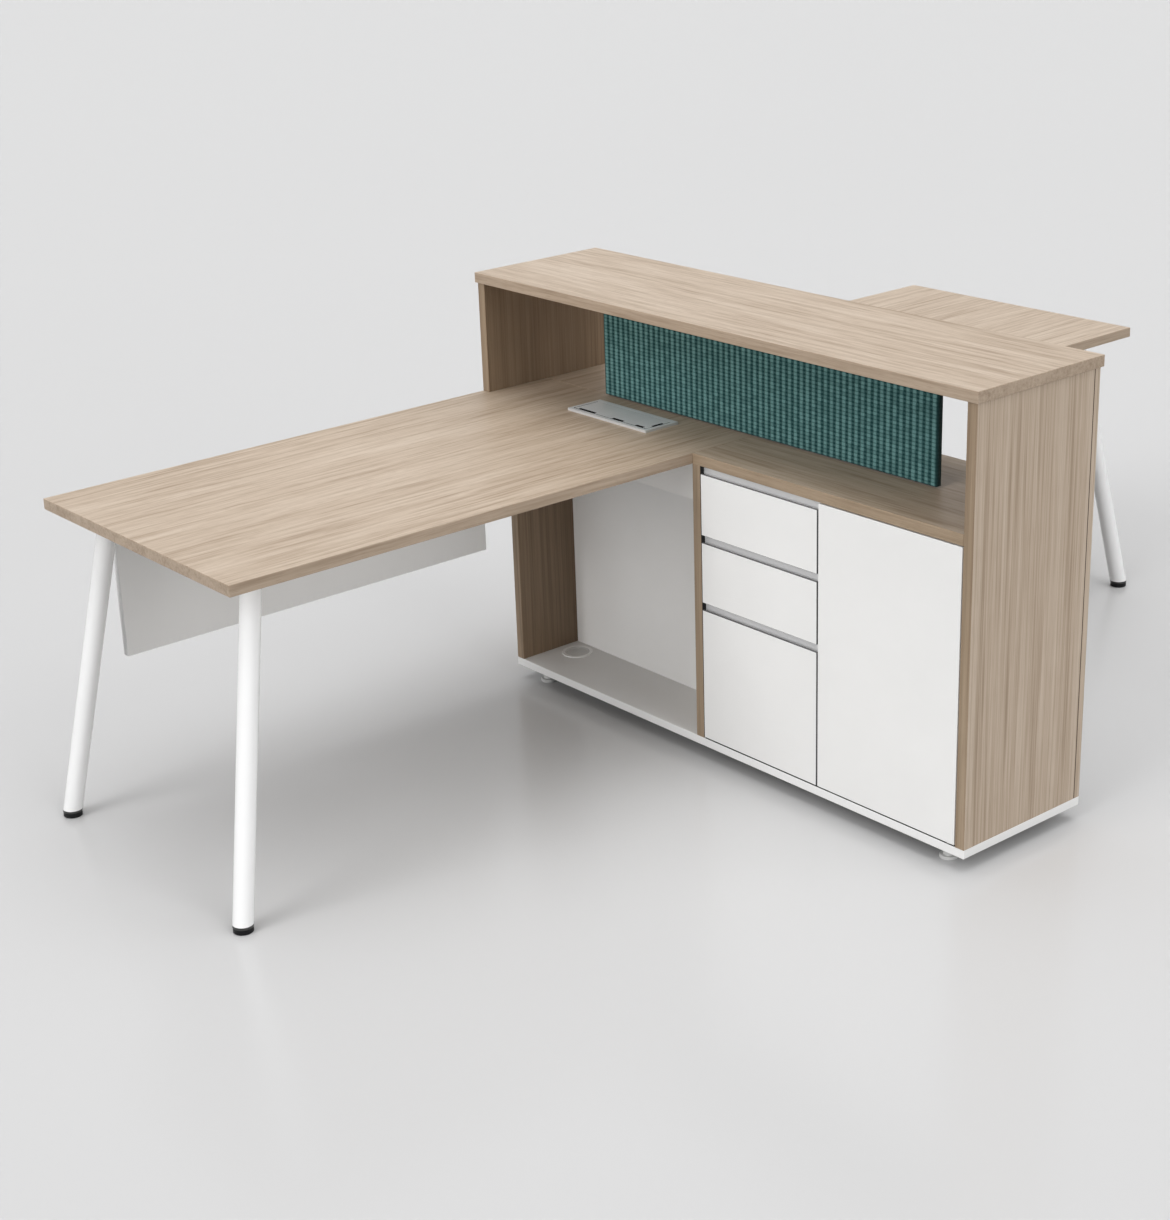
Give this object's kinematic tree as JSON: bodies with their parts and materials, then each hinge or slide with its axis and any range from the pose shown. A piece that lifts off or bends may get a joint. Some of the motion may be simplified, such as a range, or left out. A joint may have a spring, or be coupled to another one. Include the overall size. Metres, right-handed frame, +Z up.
{
  "type": "workstation cluster",
  "caption": "Back-to-back office desks on splayed legs joined by a storage cabinet with drawers, a door, an open bay, a raised shelf and a woven screen.",
  "frame": {"origin": "on the floor under the middle of the whole cluster", "axes": "+X along the cabinet from the desks to its closed end, +Y from desk a to desk b, +Z up"},
  "size_m": [1.61, 2.9108, 1.05],
  "materials": {
    "oak": "greyish oak laminate, satin",
    "white_board": "white melamine, satin",
    "drawer_box": "pale grey melamine",
    "weave": "coarse teal weave",
    "aluminium": "satin anodised",
    "white_paint": "gloss white",
    "zinc": "zinc plated",
    "black_sheet": "matt black",
    "black_plastic": "fine grain",
    "white_plastic": "satin",
    "beech": "plain turned"
  },
  "bodies": {
    "cabinet": {"lower_left_panel": "oak", "divider_panel": "oak", "right_end_panel": "oak", "end_panel_lipping": "oak", "worktop": "oak", "left_upright": "oak", "top_shelf": "oak", "desk_top_a": "oak", "desk_top_b": "oak", "base_panel": "white_board", "partition_panel": "white_board", "bay_back_panel": "white_board", "storage_back_panel": "white_board", "bay_rails": "white_board", "inner_shelf": "white_board", "modesty_panel_a": "white_board", "modesty_panel_b": "white_board", "screen_panel": "weave", "grip_profiles": "aluminium", "power_frame_a": "aluminium", "power_frame_b": "aluminium", "leg_left_a": "white_paint", "leg_right_a": "white_paint", "leg_left_b": "white_paint", "leg_right_b": "white_paint", "cross_rails": "white_paint", "side_beams": "white_paint", "runner_channels": "zinc", "modesty_angles": "zinc", "shelf_supports": "zinc", "power_well_a": "black_sheet", "power_well_b": "black_sheet", "socket_modules": "black_plastic", "grommet_rings": "white_plastic", "grommet_caps": "white_plastic", "door_bushes": "white_plastic", "door_catch": "white_plastic", "screen_dowels": "beech"},
    "drawer_upper": {"drawer_upper_front": "white_board", "drawer_upper_box": "drawer_box", "drawer_upper_runners": "zinc"},
    "drawer_middle": {"drawer_middle_front": "white_board", "drawer_middle_box": "drawer_box", "drawer_middle_runners": "zinc"},
    "drawer_lower": {"drawer_lower_front": "white_board", "drawer_lower_box": "drawer_box", "drawer_lower_runners": "zinc"},
    "door": {"door_panel": "white_board", "door_fittings": "zinc"},
    "lid_a": {"power_lid_a": "aluminium"},
    "lid_b": {"power_lid_b": "aluminium"},
    "desk_glide_left_a": {"glide_left_a": "black_plastic"},
    "desk_glide_right_a": {"glide_right_a": "black_plastic"},
    "desk_glide_left_b": {"glide_left_b": "black_plastic"},
    "desk_glide_right_b": {"glide_right_b": "black_plastic"},
    "cabinet_foot_front_left": {"foot_front_left": "white_plastic"},
    "cabinet_foot_front_right": {"foot_front_right": "white_plastic"},
    "cabinet_foot_back_left": {"foot_back_left": "white_plastic"},
    "cabinet_foot_back_right": {"foot_back_right": "white_plastic"}
  },
  "joints": [
    {"name": "drawer_upper_slide", "type": "slide", "parent": "cabinet", "child": "drawer_upper", "axis": [0, -1, 0], "range_m": [0, 0.24]},
    {"name": "drawer_middle_slide", "type": "slide", "parent": "cabinet", "child": "drawer_middle", "axis": [0, -1, 0], "range_m": [0, 0.24]},
    {"name": "drawer_lower_slide", "type": "slide", "parent": "cabinet", "child": "drawer_lower", "axis": [0, -1, 0], "range_m": [0, 0.24]},
    {"name": "door_hinge", "type": "hinge", "parent": "cabinet", "child": "door", "pos_m": [0.7525, -0.181, 0.39], "axis": [0, 0, 1], "range_deg": [0, 100]},
    {"name": "lid_a_hinge", "type": "hinge", "parent": "cabinet", "child": "lid_a", "pos_m": [-0.362, -0.073, 0.753], "axis": [-1, 0, 0], "range_deg": [0, 100]},
    {"name": "lid_b_hinge", "type": "hinge", "parent": "cabinet", "child": "lid_b", "pos_m": [-0.362, 0.073, 0.753], "axis": [1, 0, 0], "range_deg": [0, 100]},
    {"name": "glide_left_a_turn", "type": "hinge", "parent": "cabinet", "child": "desk_glide_left_a", "pos_m": [-0.782, -1.433, 0.006], "axis": [0, 0, 1], "continuous": true},
    {"name": "glide_right_a_turn", "type": "hinge", "parent": "cabinet", "child": "desk_glide_right_a", "pos_m": [-0.043, -1.433, 0.006], "axis": [0, 0, 1], "continuous": true},
    {"name": "glide_left_b_turn", "type": "hinge", "parent": "cabinet", "child": "desk_glide_left_b", "pos_m": [-0.782, 1.433, 0.006], "axis": [0, 0, 1], "continuous": true},
    {"name": "glide_right_b_turn", "type": "hinge", "parent": "cabinet", "child": "desk_glide_right_b", "pos_m": [-0.043, 1.433, 0.006], "axis": [0, 0, 1], "continuous": true},
    {"name": "foot_front_left_turn", "type": "hinge", "parent": "cabinet", "child": "cabinet_foot_front_left", "pos_m": [-0.635, -0.15, 0.015], "axis": [0, 0, 1], "continuous": true},
    {"name": "foot_front_right_turn", "type": "hinge", "parent": "cabinet", "child": "cabinet_foot_front_right", "pos_m": [0.725, -0.15, 0.015], "axis": [0, 0, 1], "continuous": true},
    {"name": "foot_back_left_turn", "type": "hinge", "parent": "cabinet", "child": "cabinet_foot_back_left", "pos_m": [-0.635, 0.15, 0.015], "axis": [0, 0, 1], "continuous": true},
    {"name": "foot_back_right_turn", "type": "hinge", "parent": "cabinet", "child": "cabinet_foot_back_right", "pos_m": [0.725, 0.15, 0.015], "axis": [0, 0, 1], "continuous": true}
  ]
}
